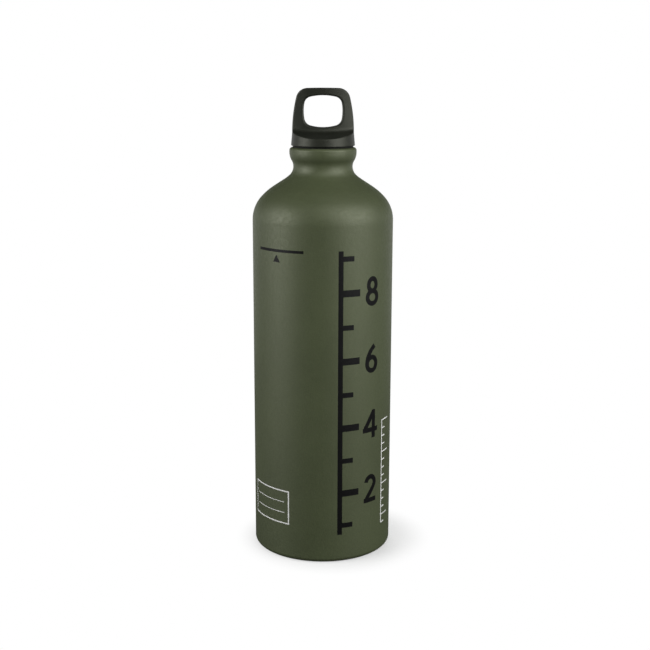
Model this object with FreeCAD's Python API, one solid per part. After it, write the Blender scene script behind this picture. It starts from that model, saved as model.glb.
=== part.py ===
# Camping fuel bottle of about one litre: a drawn aluminium bottle with a threaded ring rolled into its neck,
# closed by a push-and-turn stopper with a carrying loop. Millimetres, +Z up, the foot stands on z = 0.
import FreeCAD, Part
import math
import os

Vector = FreeCAD.Vector
axis_point = Vector(0, 0, 0)
axis_up = Vector(0, 0, 1)

# Bottle shell
wall_radius = 41.25
sheet = 1.1
straight_top = 198.6
foot_corner = 3.0
foot_ring_width = 4.0
base_dome = 6.0
dome_edge_radius = 8.0
shoulder_radius = 19.8
shoulder_turn = 43.0
brow_radius = 38.4
brow_turn = 14.0
throat_radius = 25.8
throat_turn = 8.1
neck_root_radius = 7.0
neck_radius = 17.3
bead_radius = 19.55
flare_radius = 6.6
bead_flank_radius = 9.3
bead_land = 1.05
lip_round = 1.8
lip_bore = 14.2

# Clearances
seat_gap = 0.1
running_gap = 0.3
thread_gap = 0.4
dog_gap = 0.2

# Thread of the neck ring and the plug, one right-hand start
thread_pitch = 3.0
thread_depth = 1.0
thread_overlap = 0.6
thread_flank = 30.0
thread_crest_radius = 12.5
plug_thread_turns = 3.0
ring_thread_turns = 3.5
thread_sink = 0.4

# Neck ring and its seal
ring_end_margin = 0.4
seal_groove_depth = 1.4
seal_groove_height = 1.8

# Gasket under the closure
gasket_thickness = 0.9
gasket_inner_radius = 13.3
gasket_round = 0.25

# Push travel and the drive dogs that it brings together
push_travel = 0.6
dog_count = 12
dog_height = 0.6
dog_angle = 11.0
dog_inner_radius = 10.2
dog_outer_radius = 13.4

# Plug
plug_flange_radius = 15.8
plug_flange_thickness = 0.8
plug_end_margin = 0.7
plug_end_chamfer = 0.5
plug_web = 2.0
pocket_radius = 9.0
pocket_depth = 9.5
post_radius = 5.6
post_wall = 1.8
post_height = 7.0

# Return spring and thrust washer
spring_radius = 7.0
spring_wire = 1.0
spring_turns = 4.25
washer_inner_radius = 6.0
washer_outer_radius = 8.6
washer_thickness = 0.8
spigot_drop = 1.1

# Loop cap
skirt_wall = 0.9
skirt_radius = 18.58
skirt_chamfer = 0.36
barb_thickness = 0.7
barb_lead_in = 0.4
barb_reach = 0.6
skirt_taper = 5.4
skirt_side = 5.55
loop_waist_radius = 40.0
roof_rim_height = 4.4
roof_angle = 14.5
roof_fillet = 3.0
loop_foot_thickness = 10.8
loop_head_thickness = 8.8
loop_bow_radius = 52.0
loop_side_radius = 84.0
loop_side_lean = 0.82
loop_side_turn = 12.73
loop_corner_radius = 6.8
loop_crown_angle = 1.7
loop_edge_round = 0.8
loop_top_bar = 4.2
opening_width = 22.4
opening_height = 18.3
opening_crown = 1.65
opening_sill_crown = 1.9
opening_side_bulge = 1.1
opening_upper_corner = 4.6
opening_lower_corner = 4.75
opening_edge_round = 1.0


def sine(degrees):
    return math.sin(math.radians(degrees))


def cosine(degrees):
    return math.cos(math.radians(degrees))


class Outline:
    """A smooth outline in the plane of radius and height, walked from a start point along a heading in degrees.
    Walked with an inset, it lies that far to the left of the plain outline."""

    def __init__(self, radius, height, heading, inset=0.0):
        self.heading = heading
        self.inset = inset
        self.point = Vector(radius, 0, height) + self.left() * inset
        self.start = self.point
        self.edges = []

    def ahead(self):
        return Vector(cosine(self.heading), 0, sine(self.heading))

    def left(self):
        return Vector(-sine(self.heading), 0, cosine(self.heading))

    def line(self, length):
        end = self.point + self.ahead() * length
        self.edges.append(Part.LineSegment(self.point, end).toShape())
        self.point = end

    def arc(self, radius, turn):
        """An arc whose plain radius is given. A positive turn bends to the left."""
        reach = radius - self.inset if turn > 0 else -radius - self.inset
        centre = self.point + self.left() * reach
        start = self.point
        self.heading += turn / 2
        middle = centre - self.left() * reach
        self.heading += turn / 2
        self.point = centre - self.left() * reach
        self.edges.append(Part.Arc(start, middle, self.point).toShape())


def revolve_edges(edges):
    face = Part.Face(Part.Wire(Part.__sortEdges__(edges)))
    return face.revolve(axis_point, axis_up, 360)


def revolve_points(points):
    """A turned solid from its corners, each a radius and a height."""
    corners = [Vector(radius, 0, height) for radius, height in points]
    face = Part.Face(Part.makePolygon(corners + corners[:1]))
    return face.revolve(axis_point, axis_up, 360)


def segment(start, end):
    return Part.LineSegment(start, end).toShape()


def cylinder(radius, bottom, top):
    return Part.makeCylinder(radius, top - bottom, Vector(0, 0, bottom))


# The base's dome meets the foot ring in a small arc that turns back as far as the dome turned down.
foot_ring_inner = wall_radius - foot_corner - foot_ring_width
dome_turn = 2 * math.degrees(math.atan2(base_dome, foot_ring_inner))
dome_radius = foot_ring_inner / sine(dome_turn) - dome_edge_radius

# The straight slope of the shoulder fills what the arcs leave between the wall and the neck.
slope_angle = shoulder_turn + brow_turn
neck_turn = slope_angle - throat_turn
shoulder_run = shoulder_radius * (1 - cosine(shoulder_turn))
brow_run = brow_radius * (cosine(shoulder_turn) - cosine(slope_angle))
throat_run = throat_radius * (cosine(neck_turn) - cosine(slope_angle))
neck_root_run = neck_root_radius * (1 - cosine(neck_turn))
slope_run = wall_radius - neck_radius - shoulder_run - brow_run - throat_run - neck_root_run
slope_length = slope_run / sine(slope_angle)
flare_turn = math.degrees(math.acos(1 - (bead_radius - neck_radius) / (flare_radius + bead_flank_radius)))


def shell_outline(inset, to_neck=False):
    """The bottle from the middle of its base, up the wall and over the lip, or as far as the waist of its neck."""
    outline = Outline(0, base_dome, 0, inset)
    outline.arc(dome_radius, -dome_turn)
    outline.arc(dome_edge_radius, dome_turn)
    outline.line(foot_ring_width)
    outline.arc(foot_corner, 90)
    outline.line(straight_top - foot_corner)
    outline.arc(shoulder_radius, shoulder_turn)
    outline.arc(brow_radius, brow_turn)
    outline.line(slope_length)
    outline.arc(throat_radius, -throat_turn)
    outline.arc(neck_root_radius, -neck_turn)
    if to_neck:
        return outline
    outline.arc(flare_radius, -flare_turn)
    outline.arc(bead_flank_radius, flare_turn)
    outline.line(bead_land)
    outline.arc(lip_round, 90)
    outline.line(bead_radius - lip_round - lip_bore)
    return outline


neck_waist = shell_outline(0, to_neck=True).point.z
lip_top = shell_outline(0).point.z

# Heights of the closure, from the lip upwards
gasket_top = lip_top + gasket_thickness
skirt_bottom = gasket_top
barb_bottom = gasket_top + push_travel + seat_gap
barb_top = barb_bottom + barb_thickness
flange_bottom = barb_top + running_gap
flange_top = flange_bottom + plug_flange_thickness
plug_dog_top = flange_top + dog_height
cap_dog_bottom = plug_dog_top + dog_gap
edge_ceiling = flange_top + push_travel + running_gap
ceiling = plug_dog_top + push_travel + running_gap
washer_top = ceiling - running_gap
washer_bottom = washer_top - washer_thickness
pocket_floor = flange_top - pocket_depth

# Heights and radii of the thread
thread_core_radius = thread_crest_radius - thread_depth
ring_crest_radius = thread_crest_radius - thread_overlap
ring_root_radius = ring_crest_radius + thread_depth
flank_slope = math.tan(math.radians(thread_flank))
thread_crest_width = thread_pitch / 2 - thread_overlap * flank_slope - thread_gap / cosine(thread_flank)
thread_root_half = thread_crest_width / 2 + thread_depth * flank_slope
ring_top = lip_top - sheet - seat_gap
ring_thread_end = ring_top - thread_root_half - ring_end_margin
ring_thread_start = ring_thread_end - ring_thread_turns * thread_pitch
ring_bottom = ring_thread_start - thread_root_half - ring_end_margin
plug_thread_start = ring_thread_start + thread_pitch / 2
plug_bottom = plug_thread_start - thread_root_half - plug_end_margin

# Radii that follow from the fits
neck_inner_radius = neck_radius - sheet
ring_radius = neck_inner_radius - seat_gap
seal_groove_radius = ring_radius - seal_groove_depth
plug_shoulder_radius = gasket_inner_radius - running_gap
plug_step_radius = plug_flange_radius - barb_reach - running_gap
barb_radius = plug_flange_radius - barb_reach
skirt_bore = skirt_radius - skirt_wall
gasket_outer_radius = skirt_bore - seat_gap
flange_chamber_radius = plug_flange_radius + running_gap
spigot_radius = washer_inner_radius - running_gap


def bottle_shell():
    outer = shell_outline(0)
    inner = shell_outline(sheet)
    rim = segment(outer.point, inner.point)
    middle = segment(outer.start, inner.start)
    return revolve_edges(outer.edges + [rim] + inner.edges + [middle])


def space_inside(inset):
    """Everything inside the bottle up to the underside of the lip, an inset within its outer surface."""
    outline = shell_outline(inset)
    top = Vector(0, 0, outline.point.z)
    lid = segment(outline.point, top)
    middle = segment(top, outline.start)
    return revolve_edges(outline.edges + [lid, middle])


def thread_ridge(root_radius, crest_radius, start, turns):
    """A helical ridge that stands on a wall, with its root sunk a little into that wall."""
    outward = math.copysign(1, crest_radius - root_radius)
    sunk_radius = root_radius - outward * thread_sink
    sunk_half = thread_crest_width / 2 + (thread_depth + thread_sink) * flank_slope
    crest_half = thread_crest_width / 2
    corners = [
        Vector(sunk_radius, 0, -sunk_half),
        Vector(crest_radius, 0, -crest_half),
        Vector(crest_radius, 0, crest_half),
        Vector(sunk_radius, 0, sunk_half),
    ]
    section = Part.makePolygon(corners + corners[:1])
    helix = Part.makeHelix(thread_pitch, turns * thread_pitch, crest_radius)
    ridge = Part.Wire(helix.Edges).makePipeShell([section], True, True)
    ridge.translate(Vector(0, 0, start))
    return ridge


def neck_insert():
    """The threaded ring: a sleeve in the neck's waist that swells into the bead above it."""
    room = space_inside(sheet + seat_gap)
    sleeve = cylinder(ring_radius, ring_bottom, neck_waist)
    swell = cylinder(bead_radius, neck_waist, ring_top)
    body = room.common(sleeve.fuse(swell))
    body = body.cut(cylinder(ring_root_radius, ring_bottom - sheet, ring_top + sheet))
    groove_bottom = neck_waist - seal_groove_height / 2
    groove_top = neck_waist + seal_groove_height / 2
    groove = cylinder(bead_radius, groove_bottom, groove_top)
    groove = groove.cut(cylinder(seal_groove_radius, groove_bottom, groove_top))
    body = body.cut(groove)
    ridge = thread_ridge(ring_root_radius, ring_crest_radius, ring_thread_start, ring_thread_turns)
    return body.fuse(ridge).removeSplitter()


def insert_o_ring():
    """The seal in the ring's groove, which fills the room between the groove's floor and the neck."""
    section_radius = (neck_inner_radius - seal_groove_radius) / 2 - seat_gap
    centre_radius = (neck_inner_radius + seal_groove_radius) / 2
    return Part.makeTorus(centre_radius, section_radius, Vector(0, 0, neck_waist))


def lip_gasket():
    ring = cylinder(gasket_outer_radius, lip_top, gasket_top)
    ring = ring.cut(cylinder(gasket_inner_radius, lip_top, gasket_top))
    return ring.makeFillet(gasket_round, [edge for edge in ring.Edges if len(edge.Vertexes) == 1])


def dogs(bottom, top, first_angle):
    """A ring of drive dogs, each a block between two radii and two sides that point at the axis."""
    corners = [
        Vector(dog_inner_radius, 0, bottom),
        Vector(dog_outer_radius, 0, bottom),
        Vector(dog_outer_radius, 0, top),
        Vector(dog_inner_radius, 0, top),
    ]
    face = Part.Face(Part.makePolygon(corners + corners[:1]))
    dog = face.revolve(axis_point, axis_up, dog_angle)
    blocks = []
    for count in range(dog_count):
        block = dog.copy()
        block.rotate(axis_point, axis_up, first_angle - dog_angle / 2 + count * 360 / dog_count)
        blocks.append(block)
    return blocks


def threaded_plug():
    """The inner half of the closure: threaded sleeve, spring pocket, sealing step, flange and dogs."""
    web_bottom = pocket_floor - plug_web
    shoulder_foot = ring_top + running_gap
    post_top = pocket_floor + post_height
    post_bore = post_radius - post_wall
    body = revolve_points([
        (0, web_bottom),
        (pocket_radius, web_bottom),
        (pocket_radius, plug_bottom),
        (thread_core_radius - plug_end_chamfer, plug_bottom),
        (thread_core_radius, plug_bottom + plug_end_chamfer),
        (thread_core_radius, shoulder_foot),
        (plug_shoulder_radius, shoulder_foot),
        (plug_shoulder_radius, gasket_top),
        (plug_step_radius, gasket_top),
        (plug_step_radius, flange_bottom),
        (plug_flange_radius, flange_bottom),
        (plug_flange_radius, flange_top),
        (pocket_radius, flange_top),
        (pocket_radius, pocket_floor),
        (post_radius, pocket_floor),
        (post_radius, post_top),
        (post_bore, post_top),
        (post_bore, pocket_floor),
        (0, pocket_floor),
    ])
    ridge = thread_ridge(thread_core_radius, thread_crest_radius, plug_thread_start, plug_thread_turns)
    body = body.fuse(ridge)
    for dog in dogs(flange_bottom, plug_dog_top, 0):
        body = body.fuse(dog)
    return body.removeSplitter()


def biarc(start, start_way, end, end_way):
    """Two arcs that leave one point along its way, meet smoothly and reach the other point along its way."""
    chord = end - start
    ways = start_way + end_way
    square = ways.dot(ways) - 4
    across = chord.dot(ways)
    reach = (across - math.sqrt(across * across - square * chord.dot(chord))) / square
    first_corner = start + start_way * reach
    second_corner = end - end_way * reach
    meeting = (first_corner + second_corner) * 0.5
    arcs = []
    for tail, corner, head in ((start, first_corner, meeting), (meeting, second_corner, end)):
        middle = (tail + head) * 0.5
        half = (head - tail).Length / 2
        rise = corner - middle
        half_turn = math.atan2(rise.Length, half)
        top = middle + rise * (half * math.tan(half_turn / 2) / rise.Length)
        arcs.append(Part.Arc(tail, top, head).toShape())
    return arcs


def return_spring():
    """One coil of round wire between the pocket's floor and the washer."""
    bottom = pocket_floor + spring_wire / 2
    top = washer_bottom - seat_gap - spring_wire / 2
    rise = (top - bottom) / spring_turns
    quarters = round(spring_turns * 4)

    def place(turn):
        return Vector(spring_radius * cosine(360 * turn), spring_radius * sine(360 * turn), bottom + rise * turn)

    def way(turn):
        around = 2 * math.pi * spring_radius
        return Vector(-around * sine(360 * turn), around * cosine(360 * turn), rise).normalize()

    turns = [spring_turns * count / quarters for count in range(quarters + 1)]
    edges = []
    for before, after in zip(turns, turns[1:]):
        edges += biarc(place(before), way(before), place(after), way(after))
    path = Part.Wire(edges)
    section = Part.Wire(Part.makeCircle(spring_wire / 2, place(0), way(0)))
    coil = path.makePipeShell([section], True, False)
    points = path.discretize(Number=quarters * 12)
    apart = math.pi * spring_radius
    spacing = path.Length / (len(points) - 1)
    skip = round(apart / spacing)
    nearest = min(a.distanceToPoint(b) for i, a in enumerate(points) for b in points[i + skip:])
    print("least gap of the spring to itself", round(nearest - spring_wire, 2))
    return coil


def thrust_washer():
    ring = cylinder(washer_outer_radius, washer_bottom, washer_top)
    return ring.cut(cylinder(washer_inner_radius, washer_bottom, washer_top))


def cap_silhouette():
    """The front view of the cap from the foot of its skirt to its crown, as a turned body."""
    chamfer_top = skirt_bottom + skirt_chamfer
    corners = [
        Vector(0, 0, skirt_bottom),
        Vector(skirt_radius - skirt_chamfer, 0, skirt_bottom),
        Vector(skirt_radius, 0, chamfer_top),
    ]
    edges = [segment(before, after) for before, after in zip(corners, corners[1:])]
    outline = Outline(skirt_radius, chamfer_top, 90 + skirt_taper)
    outline.line(skirt_side)
    outline.arc(loop_waist_radius, loop_side_lean - skirt_taper)
    outline.arc(loop_side_radius, loop_side_turn)
    outline.arc(loop_corner_radius, 90 - loop_side_lean - loop_side_turn - loop_crown_angle)
    outline.arc(outline.point.x / sine(loop_crown_angle), loop_crown_angle)
    middle = segment(Vector(0, 0, outline.point.z), corners[0])
    return edges + outline.edges + [middle], outline.point.z


def cap_side_view(top):
    """The side view of the cap as a body along X: a roof that falls to the skirt's rim, and the loop's plate on it."""
    rim_height = skirt_bottom + roof_rim_height
    half_foot = loop_foot_thickness / 2
    half_head = loop_head_thickness / 2
    half_length = skirt_radius + loop_edge_round
    roof_slope = math.tan(math.radians(roof_angle))
    foot_height = rim_height + (skirt_radius - half_foot) * roof_slope
    overhang = 2 * skirt_radius
    eaves_height = rim_height - (overhang - skirt_radius) * roof_slope
    ridge_height = rim_height + skirt_radius * roof_slope
    floor = eaves_height - skirt_radius
    half = [(-overhang, floor), (-overhang, eaves_height)]
    outline = half + [(0, ridge_height)] + [(-depth, height) for depth, height in reversed(half)]
    corners = [Vector(-half_length, depth, height) for depth, height in outline]
    roof = Part.Face(Part.makePolygon(corners + corners[:1])).extrude(Vector(2 * half_length, 0, 0))

    # The plate's faces are bowed: each is part of a wide cone that leans in towards the head.
    lean = (half_foot - half_head) / (top - foot_height)
    plate_top = top + loop_edge_round
    base_radius = loop_bow_radius + (foot_height - skirt_bottom) * lean
    head_radius = loop_bow_radius - (plate_top - foot_height) * lean
    centre = loop_bow_radius - half_foot
    front = Part.makeCone(base_radius, head_radius, plate_top - skirt_bottom, Vector(0, centre, skirt_bottom))
    back = Part.makeCone(base_radius, head_radius, plate_top - skirt_bottom, Vector(0, -centre, skirt_bottom))
    room = Part.makeBox(2 * half_length, 2 * overhang, plate_top, Vector(-half_length, -overhang, 0))
    body = roof.fuse(front.common(back).common(room)).removeSplitter()
    valleys = []
    for edge in body.Edges:
        middle = edge.CenterOfMass
        across = seat_gap < abs(middle.y) < loop_foot_thickness and edge.BoundBox.XLength > half_length
        if across and rim_height < middle.z < plate_top - loop_top_bar:
            valleys.append(edge)
    return body.makeFillet(roof_fillet, valleys)


def loop_opening(top):
    """The hand opening: a rectangle with crowned sides and rounded corners, cut through along Y."""
    upper = top - loop_top_bar
    lower = upper - opening_height
    half = opening_width / 2
    depth = 2 * skirt_radius
    middle_height = (upper + lower) / 2
    side = half - opening_side_bulge
    high = upper - opening_crown
    low = lower + opening_sill_crown

    def spot(x, z):
        return Vector(x, -depth, z)

    edges = [
        Part.Arc(spot(-side, high), spot(0, upper), spot(side, high)).toShape(),
        Part.Arc(spot(side, high), spot(half, middle_height), spot(side, low)).toShape(),
        Part.Arc(spot(side, low), spot(0, lower), spot(-side, low)).toShape(),
        Part.Arc(spot(-side, low), spot(-half, middle_height), spot(-side, high)).toShape(),
    ]
    bar = Part.Face(Part.Wire(edges)).extrude(Vector(0, 2 * depth, 0))
    along = [edge for edge in bar.Edges if abs(edge.CenterOfMass.y) < seat_gap]
    bar = bar.makeFillet(opening_upper_corner, [edge for edge in along if edge.CenterOfMass.z > middle_height])
    along = [edge for edge in bar.Edges if abs(edge.CenterOfMass.y) < seat_gap]
    corners = [edge for edge in along if abs(edge.CenterOfMass.z - low) < seat_gap]
    return bar.makeFillet(opening_lower_corner, corners)


def loop_cap():
    """The outer cap: its turned front view cut to its side view, opened, rounded and hollowed."""
    edges, top = cap_silhouette()
    body = revolve_edges(edges).common(cap_side_view(top))
    roof_foot = skirt_bottom + roof_rim_height / 2
    rounded = []
    for edge in body.Edges:
        box = edge.BoundBox
        if box.ZMin > roof_foot and len(edge.Vertexes) == 2 and box.YMin * box.YMax > 0:
            rounded.append(edge)
    body = body.makeFillet(loop_edge_round, rounded)
    opening = loop_opening(top)
    body = body.cut(opening)
    half = opening_width / 2 + seat_gap
    rounded = []
    for edge in body.Edges:
        box = edge.BoundBox
        inside = box.XMin > -half and box.XMax < half
        level = box.ZMin > top - loop_top_bar - opening_height - seat_gap and box.ZMax < top - loop_top_bar + seat_gap
        if inside and level and box.YMin * box.YMax > 0:
            rounded.append(edge)
    body = body.makeFillet(opening_edge_round, rounded)
    ledge = dog_outer_radius + running_gap
    below = skirt_bottom - sheet
    hollow = revolve_points([
        (0, below),
        (skirt_bore, below),
        (skirt_bore, barb_bottom),
        (barb_radius + barb_lead_in, barb_bottom),
        (barb_radius, barb_bottom + barb_lead_in),
        (barb_radius, barb_top),
        (flange_chamber_radius, barb_top),
        (flange_chamber_radius, edge_ceiling),
        (ledge, edge_ceiling),
        (ledge, ceiling),
        (spigot_radius, ceiling),
        (spigot_radius, ceiling - spigot_drop),
        (0, ceiling - spigot_drop),
    ])
    body = body.cut(hollow)
    for dog in dogs(cap_dog_bottom, ceiling + running_gap, 180 / dog_count):
        body = body.fuse(dog)
    return body.removeSplitter()


pieces = {
    "bottle_shell": bottle_shell,
    "neck_insert": neck_insert,
    "insert_o_ring": insert_o_ring,
    "lip_gasket": lip_gasket,
    "threaded_plug": threaded_plug,
    "return_spring": return_spring,
    "thrust_washer": thrust_washer,
    "loop_cap": loop_cap,
}

os.makedirs("parts", exist_ok=True)
for name, make in pieces.items():
    shape = make()
    solid = shape.Solids[0]
    box = solid.BoundBox
    print(name, len(shape.Solids), "solid", solid.isValid(), "volume", round(solid.Volume),
          "heights", round(box.ZMin, 2), round(box.ZMax, 2), "radius", round(box.XMax, 2))
    solid.exportStep("parts/" + name + ".step")
print("brimful capacity in litres", round(space_inside(sheet).Volume / 1e6, 3))
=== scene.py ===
import math

import bmesh
import bpy
import numpy as np
from mathutils import Matrix, Vector


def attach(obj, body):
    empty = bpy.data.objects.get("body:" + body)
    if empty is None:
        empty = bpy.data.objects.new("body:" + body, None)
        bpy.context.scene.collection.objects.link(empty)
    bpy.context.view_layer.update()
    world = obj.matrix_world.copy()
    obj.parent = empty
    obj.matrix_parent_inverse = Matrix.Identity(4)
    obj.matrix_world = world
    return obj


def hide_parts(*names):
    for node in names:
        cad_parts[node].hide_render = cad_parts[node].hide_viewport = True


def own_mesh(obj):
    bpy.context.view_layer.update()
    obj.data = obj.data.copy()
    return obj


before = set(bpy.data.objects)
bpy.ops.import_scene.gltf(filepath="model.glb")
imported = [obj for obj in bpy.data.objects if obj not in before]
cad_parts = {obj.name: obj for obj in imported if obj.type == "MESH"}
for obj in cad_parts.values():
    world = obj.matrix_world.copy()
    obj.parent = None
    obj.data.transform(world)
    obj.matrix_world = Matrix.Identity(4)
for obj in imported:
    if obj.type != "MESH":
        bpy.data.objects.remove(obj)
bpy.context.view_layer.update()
scene = bpy.context.scene
scene.view_settings.view_transform = "Standard"
mm = 0.001  # the pieces' forms are in millimetres, the meshes and the studio in metres


class Wire:  # a socket whose sums and products are written as Python
    def __init__(self, sheet, socket):
        self.sheet = sheet
        self.socket = socket

    def output(self, name):  # another output of the same node
        return Wire(self.sheet, self.socket.node.outputs[name])

    def math(self, operation, first, second):
        return self.sheet.node("ShaderNodeMath", {"operation": operation}, {0: first, 1: second})

    def __add__(self, other):
        return self.math("ADD", self, other)

    def __radd__(self, other):
        return self.math("ADD", other, self)

    def __sub__(self, other):
        return self.math("SUBTRACT", self, other)

    def __rsub__(self, other):
        return self.math("SUBTRACT", other, self)

    def __mul__(self, other):
        return self.math("MULTIPLY", self, other)

    def __rmul__(self, other):
        return self.math("MULTIPLY", other, self)

    def __pow__(self, other):
        return self.math("POWER", self, other)

    def larger(self, other):
        return self.math("MAXIMUM", self, other)


noiseSpan = (0.3, 0.7)  # most of a noise lies between these
mixSpan = (0.32, 0.68)  # and most of a mix of two noises between these


class NodeSheet:  # a node tree that is filled one node at a time
    def __init__(self, tree):
        self.tree = tree
        self.tree.nodes.clear()

    def node(self, kind, settings=None, inputs=None, output=0):
        made = self.tree.nodes.new(kind)
        for key, value in (settings or {}).items():
            setattr(made, key, value)
        for key, value in (inputs or {}).items():
            if isinstance(value, Wire):
                self.tree.links.new(value.socket, made.inputs[key])
            else:
                made.inputs[key].default_value = value
        return Wire(self, made.outputs[output]) if len(made.outputs) else None

    def objectPlace(self):
        return self.node("ShaderNodeTexCoord", output="Object")

    def splitPlace(self, place):
        parts = self.node("ShaderNodeSeparateXYZ", inputs={0: place})
        return [parts.output(axis) for axis in "XYZ"]

    def ringPlace(self, around, along):
        # radius and height, so that a noise of it runs in rings about the axis
        x, y, z = self.splitPlace(self.objectPlace())
        radius = (x * x + y * y) ** 0.5
        return self.node("ShaderNodeCombineXYZ", inputs={0: radius * around, 2: z * along})

    def noise(self, place, scale, detail, rough):
        inputs = {"Vector": place, "Scale": scale, "Detail": detail, "Roughness": rough}
        return self.node("ShaderNodeTexNoise", {"noise_dimensions": "3D"}, inputs)

    def spread(self, value, low, high, newLow=0.0, newHigh=1.0):
        inputs = {"Value": value, "From Min": low, "From Max": high,
                  "To Min": newLow, "To Max": newHigh}
        return self.node("ShaderNodeMapRange", {"interpolation_type": "SMOOTHSTEP"}, inputs)

    def blend(self, factor, first, second):
        inputs = {"Factor": factor, 6: first, 7: second}  # sockets 6 and 7 are the two colours
        return self.node("ShaderNodeMix", {"data_type": "RGBA"}, inputs, output=2)

    def rays(self):  # those from the camera, and those that gloss or glass sends on
        path = self.node("ShaderNodeLightPath")
        sentOn = path.output("Is Glossy Ray").larger(path.output("Is Transmission Ray"))
        return path.output("Is Camera Ray"), sentOn

    def mixShaders(self, factor, first, second):
        return self.node("ShaderNodeMixShader", inputs={0: factor, 1: first, 2: second})

    def finishWith(self, shader, kind="ShaderNodeOutputMaterial"):
        self.node(kind, inputs={"Surface": shader})

    def surface(self, look, tone, wear, relief):
        # tone goes from 0, dark, to 1, light; wear and relief are noises for roughness and bumps
        bumps = {"Height": relief, "Strength": look["strength"], "Distance": look["depth"]}
        varying = {
            "Base Color": self.blend(tone, look["dark"], look["light"]),
            "Roughness": self.spread(wear, *noiseSpan, *look["roughness"]),
            "Normal": self.node("ShaderNodeBump", inputs=bumps),
        }
        self.finishWith(self.node("ShaderNodeBsdfPrincipled", inputs={**look["fixed"], **varying}))


def mixed(shares, first, second):
    return first * shares[0] + second * shares[1]


def newFinish(name):
    material = bpy.data.materials.new(name)
    material.use_nodes = True
    return material, NodeSheet(material.node_tree)


coatLook = {
    "dark": (0.0276, 0.0343, 0.0149, 1), "light": (0.0380, 0.0471, 0.0206, 1),  # olive
    "grain": (1900.0, 2.0, 0.5),  # a noise's scale, detail and roughness
    "peel": (620.0, 1.0, 0.5), "cloud": (22.0, 3.0, 0.6),
    "toneMix": (0.55, 0.45),  # shares of grain and cloud
    "wearMix": (0.5, 0.5), "reliefMix": (0.6, 0.8),  # shares of grain and peel
    "roughness": (0.47, 0.62), "depth": 0.00006, "strength": 0.9,
    "fixed": {"IOR": 1.5, "Specular Tint": (0.96, 1.0, 0.80, 1)},
}


def coatFinish():
    # powder coat: a fine grain that speckles the colour, over a slight orange peel
    look = coatLook
    material, sheet = newFinish("olivePowderCoat")
    place = sheet.objectPlace()
    grain, peel, cloud = (sheet.noise(place, *look[name]) for name in ("grain", "peel", "cloud"))
    tone = sheet.spread(mixed(look["toneMix"], grain, cloud), *mixSpan)
    wear, relief = mixed(look["wearMix"], grain, peel), mixed(look["reliefMix"], grain, peel)
    sheet.surface(look, tone, wear, relief)
    return material


inkFilm = {"roughness": (0.42, 0.52), "depth": 0.00002, "strength": 0.25}
inkLooks = {
    "printedInk": dict(
        inkFilm, dark=(0.0008, 0.0008, 0.0009, 1), light=(0.0020, 0.0020, 0.0021, 1),
        fixed={"IOR": 1.48, "Specular IOR Level": 0.12}),
    "palePrintedInk": dict(
        inkFilm, dark=(0.46, 0.46, 0.45, 1), light=(0.56, 0.56, 0.55, 1),
        fixed={"IOR": 1.48, "Specular IOR Level": 0.4}),
}


def inkFinish(name):
    # a printed film that shows the grain of the coat under it
    look = inkLooks[name]
    material, sheet = newFinish(name)
    grain = sheet.noise(sheet.objectPlace(), *coatLook["grain"])
    sheet.surface(look, sheet.spread(grain, *noiseSpan), grain, grain)
    return material


mouldSkin = {"grain": (2600.0, 3.0, 0.6), "cloud": (90.0, 2.0, 0.5), "mix": (0.6, 0.4),
             "depth": 0.00003, "strength": 0.4}
mouldedLooks = {
    "loopCapPlastic": dict(
        mouldSkin, dark=(0.0060, 0.0068, 0.0047, 1), light=(0.0086, 0.0096, 0.0067, 1),
        roughness=(0.40, 0.52),
        fixed={"IOR": 1.49, "Specular IOR Level": 0.28, "Specular Tint": (0.98, 1.0, 0.86, 1)}),
    "plugPlastic": dict(
        mouldSkin, dark=(0.010, 0.0102, 0.0104, 1), light=(0.016, 0.0162, 0.0165, 1),
        roughness=(0.38, 0.5), fixed={"IOR": 1.49, "Specular IOR Level": 0.5}),
    "sealRubber": dict(
        mouldSkin, dark=(0.004, 0.004, 0.0041, 1), light=(0.007, 0.007, 0.0071, 1),
        grain=(1800.0, 3.0, 0.6), roughness=(0.5, 0.62),
        fixed={"IOR": 1.49, "Specular IOR Level": 0.1}),
}


def mouldedFinish(name):
    # spark-eroded mould skin: fine pits, slight clouds in the tone
    look = mouldedLooks[name]
    material, sheet = newFinish(name)
    place = sheet.objectPlace()
    grain, cloud = sheet.noise(place, *look["grain"]), sheet.noise(place, *look["cloud"])
    skin = mixed(look["mix"], grain, cloud)
    sheet.surface(look, sheet.spread(skin, *mixSpan), skin, grain)
    return material


toolMarks = {"rings": (1.0, 3.0, 0.65), "depth": 0.00002, "strength": 0.3,
             "fixed": {"Metallic": 1.0}}
turnedLooks = {  # around and along: rings in a metre of radius and of height
    "bareDrawnMetal": dict(
        toolMarks, dark=(0.52, 0.53, 0.54, 1), light=(0.66, 0.67, 0.68, 1),
        roughness=(0.36, 0.5), around=300.0, along=900.0),
    "turnedRing": dict(
        toolMarks, dark=(0.60, 0.61, 0.62, 1), light=(0.78, 0.79, 0.80, 1),
        roughness=(0.22, 0.38), around=3000.0, along=3000.0),
    "drawnSteel": dict(
        toolMarks, dark=(0.42, 0.42, 0.43, 1), light=(0.58, 0.58, 0.59, 1),
        roughness=(0.2, 0.34), around=5000.0, along=5000.0),
}


def turnedFinish(name):
    # fine rings left by the tool, as noise of radius and height
    look = turnedLooks[name]
    material, sheet = newFinish(name)
    rings = sheet.noise(sheet.ringPlace(look["around"], look["along"]), *look["rings"])
    sheet.surface(look, sheet.spread(rings, *noiseSpan), rings, rings)
    return material


mergeDistance = 1e-7  # metres
sharpAngle = 40.0  # degrees between faces; a flatter edge is shaded smooth


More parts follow.
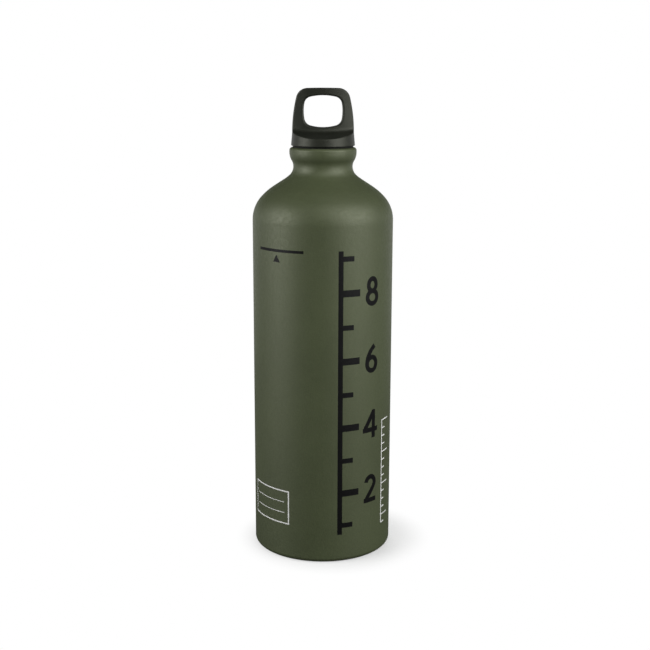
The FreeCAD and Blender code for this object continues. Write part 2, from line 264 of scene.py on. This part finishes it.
def gridMesh(points):
    # four-sided faces between neighbours of a grid of points: rows follow the profile, and columns
    # go round until the last meets the first; a row that shrinks to one point is merged, so a pole
    # is closed by triangles
    rows, columns = points.shape[:2]
    index = np.arange(rows * columns).reshape(rows, columns)
    right = np.roll(index, -1, 1)
    quads = np.stack([index[:-1], right[:-1], right[1:], index[1:]], -1)
    mesh = bpy.data.meshes.new("grid")
    mesh.from_pydata(points.reshape(-1, 3) * mm, [], quads.reshape(-1, 4).tolist())
    work = bmesh.new()
    work.from_mesh(mesh)
    bmesh.ops.remove_doubles(work, verts=work.verts, dist=mergeDistance)
    work.to_mesh(mesh)
    work.free()
    return mesh


def gridPiece(name, grids, materials):
    # one piece of one or more grids, each closed by itself
    work = bmesh.new()
    for points in grids:
        part = gridMesh(points)
        work.from_mesh(part)
        bpy.data.meshes.remove(part)
    mesh = bpy.data.meshes.new(name)
    work.to_mesh(mesh)
    work.free()
    mesh.polygons.foreach_set("use_smooth", np.ones(len(mesh.polygons), bool))
    mesh.set_sharp_from_angle(angle=math.radians(sharpAngle))
    mesh.update()
    for material in materials:
        mesh.materials.append(material)
    piece = bpy.data.objects.new(name, mesh)
    scene.collection.objects.link(piece)
    return piece


def roundAxis(radius, angle, height):
    # x = r sin(a), y = -r cos(a), z = h, where a is 0 at the front and grows to the right
    places = np.broadcast_arrays(radius * np.sin(angle), -radius * np.cos(angle), height)
    return np.stack(places, -1)


shellForm = {
    "wallRadius": 41.25, "sheet": 1.1, "straightTop": 198.6,
    "footCorner": 3.0, "footRing": 4.0, "baseDome": 6.0, "domeEdge": 8.0,
    "shoulder": (19.8, 43.0), "brow": (38.4, 14.0), "throat": (25.8, 8.1),  # radius, degrees
    "neckRoot": 7.0, "neckRadius": 17.3, "flare": 6.6, "beadFlank": 9.3, "beadRadius": 19.55,
    "beadLand": 1.05, "lipRound": 1.8, "lipBore": 14.2,
    "steps": 256, "arcStep": 2.5,  # faces round the axis, degrees of arc between profile points
    "baseTop": 20.0, "levelFace": 0.3,  # faces under this height, with this much rise in the normal
}
wall = shellForm["wallRadius"]


def shellStretches(form):
    # from the middle of the base, over the foot, up the wall, over the shoulder and round the
    # neck's bead to the bore, as (length, 0) for a line and (radius, degrees) for an arc; the
    # slope's length and the flare's turn are what brings the pen to the neck and to the bead
    def cosine(degrees):
        return math.cos(math.radians(degrees))

    ringInner = wall - form["footCorner"] - form["footRing"]
    domeTurn = 2 * math.degrees(math.atan2(form["baseDome"], ringInner))
    domeRadius = ringInner / math.sin(math.radians(domeTurn)) - form["domeEdge"]
    shoulderRadius, shoulderTurn = form["shoulder"]
    browRadius, browTurn = form["brow"]
    throatRadius, throatTurn = form["throat"]
    slope = shoulderTurn + browTurn
    neckTurn = slope - throatTurn
    slopeRun = (wall - form["neckRadius"] - shoulderRadius * (1 - cosine(shoulderTurn))
                - browRadius * (cosine(shoulderTurn) - cosine(slope))
                - throatRadius * (cosine(neckTurn) - cosine(slope))
                - form["neckRoot"] * (1 - cosine(neckTurn)))
    slopeLength = slopeRun / math.sin(math.radians(slope))
    flareRun = form["beadRadius"] - form["neckRadius"]
    flareTurn = math.degrees(math.acos(1 - flareRun / (form["flare"] + form["beadFlank"])))
    return [
        (domeRadius, -domeTurn), (form["domeEdge"], domeTurn),
        (form["footRing"], 0), (form["footCorner"], 90),
        (form["straightTop"] - form["footCorner"], 0),
        (shoulderRadius, shoulderTurn), (browRadius, browTurn), (slopeLength, 0),
        (throatRadius, -throatTurn), (form["neckRoot"], -neckTurn),
        (form["flare"], -flareTurn), (form["beadFlank"], flareTurn),
        (form["beadLand"], 0), (form["lipRound"], 90),
        (form["beadRadius"] - form["lipRound"] - form["lipBore"], 0),
    ]


def walkOutline(start, stretches, inset, arcStep):
    # a pen leaves its start along the radius and follows lines and arcs that join smoothly;
    # a positive turn bends left, and the inset line keeps that distance on the pen's left
    place, heading, parts = np.array(start, float), 0.0, []
    for size, turn in stretches:
        share = np.linspace(0.0, 1.0, max(2, int(abs(turn) / arcStep) + 2))[:, None]
        angle = np.radians(heading + turn * share)
        left = np.hstack([-np.sin(angle), np.cos(angle)])
        if turn:
            reach = math.copysign(size, turn)
            points = place + reach * (left[:1] - left)
        else:
            points = place + share * size * np.array([left[0, 1], -left[0, 0]])
        parts.append((points + inset * left)[1 if parts else 0:])
        place, heading = points[-1], heading + turn
    return np.concatenate(parts)


def makeShell(coat, bareMetal):
    # the profile, out along the coat and back along the inside, turned once round the axis
    form = shellForm
    stretches = shellStretches(form)
    start = (0.0, form["baseDome"])
    outside = walkOutline(start, stretches, 0.0, form["arcStep"])
    inside = walkOutline(start, stretches, form["sheet"], form["arcStep"])[::-1]
    profile = np.concatenate([outside, inside])
    angle = np.linspace(0.0, 2 * math.pi, form["steps"], endpoint=False)[None, :]
    grid = roundAxis(profile[:, :1], angle, profile[:, 1:])
    piece = gridPiece("bottle_shell_drawn", [grid], [coat, bareMetal])
    faces = piece.data.polygons
    centres, normals = np.empty(len(faces) * 3), np.empty(len(faces) * 3)
    faces.foreach_get("center", centres)
    faces.foreach_get("normal", normals)
    centres, normals = centres.reshape(-1, 3), normals.reshape(-1, 3)
    inward = (centres[:, :2] * normals[:, :2]).sum(1) < 0  # the bare inside looks towards the axis
    base = centres[:, 2] < form["baseTop"] * mm  # its inside looks up, its outside down
    level = np.abs(normals[:, 2]) > form["levelFace"]
    bare = np.where(base & level, normals[:, 2] > 0, inward)
    faces.foreach_set("material_index", bare.astype(np.int32))
    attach(piece, "bottle")
    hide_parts("bottle_shell")
    print("shell:", len(faces), "faces, lip at", round(outside[-1][1], 2), "mm")


filmForm = {"sunk": 0.01, "proud": 0.035, "barStep": 0.7}  # on the coat; degrees between rows
filmRadii = (wall - filmForm["sunk"], wall + filmForm["proud"])


def bentBar(span, low, high):
    # a flat bar bent round the wall: its four-cornered section is carried through the angles of
    # its span, in degrees, and the first and last rows shrink to a point, which closes the ends
    inner, outer = filmRadii
    section = np.array([[inner, low], [inner, high], [outer, high], [outer, low]])
    first, last = span
    rows = max(3, int((last - first) / filmForm["barStep"]))
    angle = np.radians(np.linspace(first, last, rows))
    angle = np.concatenate([angle[:1], angle, angle[-1:]])
    section = np.repeat(section[None], len(angle), 0)
    section[0] = section[0].mean(0)
    section[-1] = section[-1].mean(0)
    return roundAxis(section[..., 0], angle[:, None], section[..., 1])


def levelBar(span, middle, thick):
    return bentBar(span, middle - thick / 2, middle + thick / 2)


fillForm = {
    "height": 184.7, "thick": 1.6, "span": (-60.0, -15.1),  # degrees from the front
    "arrowAt": -39.5, "arrowWidth": 5.0, "arrowHeight": 4.4, "arrowGap": 1.4,
    "arrowRows": 12, "arrowColumns": 9,
}


def bentArrow(form):
    # an upright triangle bent round the wall, its tip a gap below the filling line: rows narrow
    # from foot to tip, columns cross the film's face and come back behind it, and the first and
    # last rows shrink to a point
    inner, outer = filmRadii
    share = np.linspace(0.0, 1.0, form["arrowRows"])
    share = np.concatenate([share[:1], share])[:, None]
    half = (1 - share) * form["arrowWidth"] / 2
    half[0] = 0.0
    across = np.linspace(-1.0, 1.0, form["arrowColumns"])
    across = np.concatenate([across, across[::-1]])[None, :]
    radius = np.repeat((outer, inner), form["arrowColumns"])[None, :] + 0 * share
    radius[0] = radius[-1] = (inner + outer) / 2
    angle = math.radians(form["arrowAt"]) + half * across / wall
    tip = form["height"] - form["thick"] / 2 - form["arrowGap"]
    return roundAxis(radius, angle, tip - form["arrowHeight"] + share * form["arrowHeight"])


def fillLine():
    form = fillForm
    return [levelBar(form["span"], form["height"], form["thick"]), bentArrow(form)]


levelForm = {
    "step": 19.75, "first": 23.0, "count": 9,  # a tenth of a litre takes 19.75 mm of height
    "spine": (12.4, 16.4), "spineEnds": (17.3, 185.5), "tickStart": 15.5,
    "shortTick": (25.5, 3.0), "longTick": (31.0, 4.0),  # end in degrees, thickness
}


def levelHeight(tenth):
    return levelForm["first"] + (tenth - 1) * levelForm["step"]


def levelScale():
    # an upright bar with a tick for each tenth, longer and thicker at the even ones
    form = levelForm
    grids = [bentBar(form["spine"], *form["spineEnds"])]
    for tenth in range(1, form["count"] + 1):
        end, thick = form["shortTick"] if tenth % 2 else form["longTick"]
        grids.append(levelBar((form["tickStart"], end), levelHeight(tenth), thick))
    return grids


numeralForm = {
    "at": 43.5, "height": 17.0, "pen": 2.8, "strokeLift": 0.003,  # a later stroke lies higher
    "arcPoints": 49, "bendPoints": 25, "penPoints": 5,
}


def arcPath(centre, radii, first, last):
    # an ellipse: centre + (a cos t, b sin t), for t in degrees from first to last
    angle = np.radians(np.linspace(first, last, numeralForm["arcPoints"]))
    curve = [centre[0] + radii[0] * np.cos(angle), centre[1] + radii[1] * np.sin(angle)]
    return np.stack(curve, -1)


def bendPath(first, towards, last):
    # a parabola: (1 - t)^2 first + 2 t (1 - t) towards + t^2 last
    first, towards, last = np.array(first), np.array(towards), np.array(last)
    t = np.linspace(0.0, 1.0, numeralForm["bendPoints"])[:, None]
    return (1 - t) ** 2 * first + 2 * t * (1 - t) * towards + t ** 2 * last


def linePath(first, last):
    # a straight run, as a bend towards its own middle
    return bendPath(first, (np.array(first) + np.array(last)) / 2, last)


numeralPaths = {  # middle lines of the pen's strokes, in numeral heights above the foot
    2: [np.concatenate([arcPath((0, 0.705), (0.2, 0.2175), 172, -38),
                        linePath((0.152, 0.56), (-0.22, 0.0775))[1:]]),
        linePath((-0.30, 0.0775), (0.27, 0.0775))],
    4: [linePath((0.12, 0.0), (0.12, 1.0)),
        linePath((0.10, 0.93), (-0.30, 0.30)),
        linePath((-0.37, 0.30), (0.32, 0.30))],
    6: [arcPath((0, 0.31), (0.21, 0.2325), 0, 360),
        bendPath((-0.21, 0.31), (-0.21, 0.68), (0.13, 0.94))],
    8: [arcPath((0, 0.2925), (0.22, 0.215), 0, 360),
        arcPath((0, 0.715), (0.175, 0.2075), 0, 360)],
}


def bentStroke(path, middle, layer):
    # a flat pen stroke bent round the wall: the pen lies across the path, whose x goes round the
    # wall and y up it; a ring's last row meets its first, and an open stroke's end rows shrink to
    # a point
    form = numeralForm
    path = (path - (0, 0.5)) * form["height"]
    ring = np.allclose(path[0], path[-1])
    before = path[-2:-1] if ring else 2 * path[:1] - path[1:2]
    after = path[1:2] if ring else 2 * path[-1:] - path[-2:-1]
    way = np.concatenate([path[1:], after]) - np.concatenate([before, path[:-1]])
    way = way / np.linalg.norm(way, axis=1, keepdims=True)
    across = np.linspace(0.5, -0.5, form["penPoints"]) * form["pen"]
    across = np.concatenate([across, across[::-1]])
    sideways, up = path[:, :1] - way[:, 1:] * across, path[:, 1:] + way[:, :1] * across
    rises = (filmForm["proud"] + layer * form["strokeLift"], -filmForm["sunk"])
    radius = wall + np.repeat(rises, form["penPoints"])[None, :] + 0 * up
    grid = np.stack([sideways, up, radius], -1)
    if not ring:
        ends = grid.mean(1, keepdims=True) + 0 * grid
        grid = np.concatenate([ends[:1], grid, ends[-1:]])
    angle = math.radians(form["at"]) + grid[..., 0] / wall
    return roundAxis(grid[..., 2], angle, middle + grid[..., 1])


def levelNumerals():
    return [bentStroke(path, levelHeight(tenth), layer)
            for tenth, paths in numeralPaths.items() for layer, path in enumerate(paths)]


fineForm = {
    "parts": 4, "count": 14, "thick": 0.65,  # quarters of a tenth
    "spine": (57.9, 58.9), "overlap": 0.2, "shortEnd": 63.5, "longEnd": 69.5,  # degrees
}


def fineScale():
    # starts one quarter below the first tenth, and has a longer mark at each whole tenth
    form = fineForm
    step, half = levelForm["step"] / form["parts"], form["thick"] / 2
    lowest = levelForm["first"] - step
    highest = lowest + (form["count"] - 1) * step
    grids = [bentBar(form["spine"], lowest - half, highest + half)]
    for mark in range(form["count"]):
        end = form["longEnd"] if mark % form["parts"] == 1 else form["shortEnd"]
        span = (form["spine"][1] - form["overlap"], end)
        grids.append(levelBar(span, lowest + mark * step, form["thick"]))
    return grids


fieldForm = {
    "span": (-71.0, -28.8), "ends": (22.5, 42.4), "line": 0.75,  # degrees, heights
    "ruleSpan": (-67.0, -33.0), "rules": (29.0, 35.6), "ruleLine": 0.4,
}


def writingField():
    # a blank framed field with two rules to write on
    form = fieldForm
    grids = [levelBar(form["span"], height, form["line"]) for height in form["ends"]]
    grids += [levelBar(form["ruleSpan"], height, form["ruleLine"]) for height in form["rules"]]
    wide = math.degrees(form["line"] / wall)
    low, high = form["ends"]
    for side in form["span"]:
        span = (side - wide / 2, side + wide / 2)
        grids.append(bentBar(span, low - form["line"] / 2, high + form["line"] / 2))
    return grids


def makePrint(ink, paleInk):
    films = {
        "fill_line": (fillLine(), ink, "printed_ink"),
        "level_scale": (levelScale(), ink, "printed_ink"),
        "level_numerals": (levelNumerals(), ink, "printed_ink"),
        "fine_scale": (fineScale(), paleInk, "pale_ink"),
        "writing_field": (writingField(), paleInk, "pale_ink"),
    }
    for name, (grids, film, slot) in films.items():
        piece = gridPiece(name, grids, [film])
        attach(piece, "bottle")
    print("print:", len(films), "films,", levelForm["count"], "level marks,",
          len(numeralPaths), "numerals")


springForm = {
    "radius": 7.0, "wire": 1.0, "turns": 4.25, "ends": (234.49, 244.29),
    "push": 0.6,  # how far the cap goes down on it
    "stepsPerTurn": 40, "stepsRound": 14,
}


def makeSpring(steel):
    # a round section carried along a helix: outwards and t x outwards span the section, where t
    # runs along the wire; the first and last rows shrink to a point, which closes the wire
    form = springForm
    low, high = form["ends"]
    half = form["wire"] / 2
    share = np.linspace(0.0, 1.0, int(form["turns"] * form["stepsPerTurn"]))
    share = np.concatenate([share[:1], share, share[-1:]])
    angle = 2 * math.pi * form["turns"] * share
    flat = 0 * angle
    outwards = np.stack([np.cos(angle), np.sin(angle), flat], -1)
    rise = high - low - form["wire"]
    middle = form["radius"] * outwards + np.stack([flat, flat, low + half + rise * share], -1)
    climb = rise / (2 * math.pi * form["turns"] * form["radius"])
    along = np.stack([-np.sin(angle), np.cos(angle), climb + flat], -1) / math.hypot(1.0, climb)
    upwards = np.cross(along, outwards)
    reach = np.full(len(share), half)
    reach[[0, -1]] = 0.0
    turn = np.linspace(0.0, 2 * math.pi, form["stepsRound"], endpoint=False)[None, :, None]
    section = np.cos(turn) * outwards[:, None] + np.sin(turn) * upwards[:, None]
    grid = middle[:, None] + reach[:, None, None] * section
    piece = gridPiece("return_spring_wound", [grid], [steel])
    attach(piece, "plug")
    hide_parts("return_spring")
    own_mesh(piece)
    print("spring:", len(piece.data.polygons), "faces")


def dressNodes(finishes):
    for name, material in finishes.items():
        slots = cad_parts[name].data.materials
        slots.clear()
        slots.append(material)
    print("finishes on", len(finishes), "nodes of the frame")


steel = turnedFinish("drawnSteel")
rubber = mouldedFinish("sealRubber")
makeShell(coatFinish(), turnedFinish("bareDrawnMetal"))
makePrint(inkFinish("printedInk"), inkFinish("palePrintedInk"))
makeSpring(steel)
dressNodes({
    "neck_insert": turnedFinish("turnedRing"), "insert_o_ring": rubber, "lip_gasket": rubber,
    "threaded_plug": mouldedFinish("plugPlastic"), "thrust_washer": steel,
    "loop_cap": mouldedFinish("loopCapPlastic"),
})

floorForm = {
    "half": 4.0, "drop": 0.0001, "white": 1.0,
    # the floor's colour near the foot, as the camera sees it, is a dimmed grey: painted shadow,
    # darker even where no shadow falls
    "bounce": (0.1, 0.1, 0.1, 1), "shadedFloor": (0.55, 0.55, 0.55, 1),
    "shadowAt": (0.007, 0.002, 0.0), "shadowReach": (0.034, 0.062), "shadowShare": 0.62,
    "mirrorFrom": (0.3, 0.8),  # reflections see white from here backwards
}


def makeFloor():
    # a flat square that the camera sees white; in a soft disc round the foot, set off to the right,
    # it blends to a dimmed grey floor that the lamps light, so the shadow there is partly cast and
    # partly painted shadow; towards the backdrop reflections see it white too
    form = floorForm
    half, level = form["half"], -form["drop"]
    corners = [(-half, -half, level), (half, -half, level),
               (half, half, level), (-half, half, level)]
    mesh = bpy.data.meshes.new("floor")
    mesh.from_pydata(corners, [], [(0, 1, 2, 3)])
    floor = bpy.data.objects.new("floor", mesh)
    scene.collection.objects.link(floor)
    material, sheet = newFinish("paleFloor")
    fromCamera, sentOn = sheet.rays()
    place = sheet.objectPlace()
    reach = sheet.node("ShaderNodeVectorMath", {"operation": "DISTANCE"},
                       {0: place, 1: form["shadowAt"]}, output="Value")
    # painted shadow: a soft disc round the foot, set off to the right, where the white gives way to
    # the dimmed grey floor
    nearness = 1.0 - sheet.spread(reach, *form["shadowReach"])
    seen = fromCamera * (1.0 - nearness * form["shadowShare"])
    mirrored = sentOn * sheet.spread(sheet.splitPlace(place)[1], *form["mirrorFrom"])
    colour = sheet.blend(fromCamera, form["bounce"], form["shadedFloor"])
    shadedFloor = sheet.node("ShaderNodeBsdfDiffuse", inputs={"Color": colour})
    white = sheet.node("ShaderNodeEmission", inputs={"Strength": form["white"]})
    sheet.finishWith(sheet.mixShaders(seen.larger(mirrored), shadedFloor, white))
    mesh.materials.append(material)


worldForm = {
    "colour": (1, 1, 1, 1), "ambient": 0.06, "white": 1.0,
    "wallFrom": (-0.1, 0.3), "wallTop": (0.0, 0.25),  # the backdrop's edges, as directions
}


def makeWorld():
    # a white backdrop in a dim room: the camera sees white only, reflections the dim room as well
    form = worldForm
    world = bpy.data.worlds.new("studio")
    world.use_nodes = True
    scene.world = world
    sheet = NodeSheet(world.node_tree)
    fromCamera, sentOn = sheet.rays()
    direction = sheet.node("ShaderNodeTexCoord", output="Generated")
    ahead, above = sheet.splitPlace(direction)[1:]
    behind = sheet.spread(ahead, *form["wallFrom"])
    backdrop = behind * (1.0 - sheet.spread(above, *form["wallTop"]))
    room, white = (
        sheet.node("ShaderNodeBackground", inputs={"Color": form["colour"], "Strength": form[name]})
        for name in ("ambient", "white"))
    share = fromCamera.larger(sentOn * backdrop)
    sheet.finishWith(sheet.mixShaders(share, room, white), "ShaderNodeOutputWorld")


lightAim = (0.0, 0.0, 0.13)  # all the lamps look at the middle of the wall
lightForms = {  # azimuth in degrees from the front, power in watts
    "leftBox": {"azimuth": -71.0, "height": 0.40, "reach": 0.95, "size": (0.66, 0.76),
                "power": 11.8, "mirrored": True},
    "rightBox": {"azimuth": 56.0, "height": 0.52, "reach": 0.95, "size": (0.95, 0.96),
                 "power": 18.0, "mirrored": True},
    "frontFill": {"azimuth": 20.0, "height": 0.85, "reach": 0.6, "size": (0.5, 0.5),
                  "power": 2.1, "mirrored": True},
    "backFill": {"azimuth": 180.0, "height": 0.40, "reach": 0.95, "size": (0.7, 0.7),
                 "power": 9.0, "mirrored": False},  # shows in no reflection
}


def makeLights():
    for name, form in lightForms.items():
        light = bpy.data.lights.new(name, "AREA")
        light.shape = "RECTANGLE"
        light.size, light.size_y = form["size"]
        light.energy = form["power"]
        angle, reach = math.radians(form["azimuth"]), form["reach"]
        place = Vector((reach * math.sin(angle), -reach * math.cos(angle), form["height"]))
        turn = (place - Vector(lightAim)).to_track_quat("Z", "Y").to_matrix().to_4x4()
        holder = bpy.data.objects.new(name, light)
        holder.matrix_world = Matrix.Translation(place) @ turn
        holder.visible_camera = False
        holder.visible_glossy = form["mirrored"]
        scene.collection.objects.link(holder)


cameraForm = {
    "lens": 64.0567, "sensor": 36.0, "clip": (0.01, 20.0), "place": (0.0, -0.67838, 0.28196),
    "down": 12.235, "right": 0.1214, "tilt": 0.1534,  # degrees
}


def makeCamera():
    form = cameraForm
    camera = bpy.data.cameras.new("camera")
    camera.lens, camera.sensor_width = form["lens"], form["sensor"]
    camera.sensor_fit = "HORIZONTAL"
    camera.clip_start, camera.clip_end = form["clip"]
    holder = bpy.data.objects.new("camera", camera)
    aside = Matrix.Rotation(math.radians(-form["right"]), 4, "Z")
    down = Matrix.Rotation(math.radians(90 - form["down"]), 4, "X")
    tilt = Matrix.Rotation(math.radians(form["tilt"]), 4, "Z")
    holder.matrix_world = Matrix.Translation(form["place"]) @ aside @ down @ tilt
    scene.collection.objects.link(holder)
    scene.camera = holder


makeFloor()
makeWorld()
makeLights()
makeCamera()
print("studio: floor, world,", len(lightForms), "lights, camera")
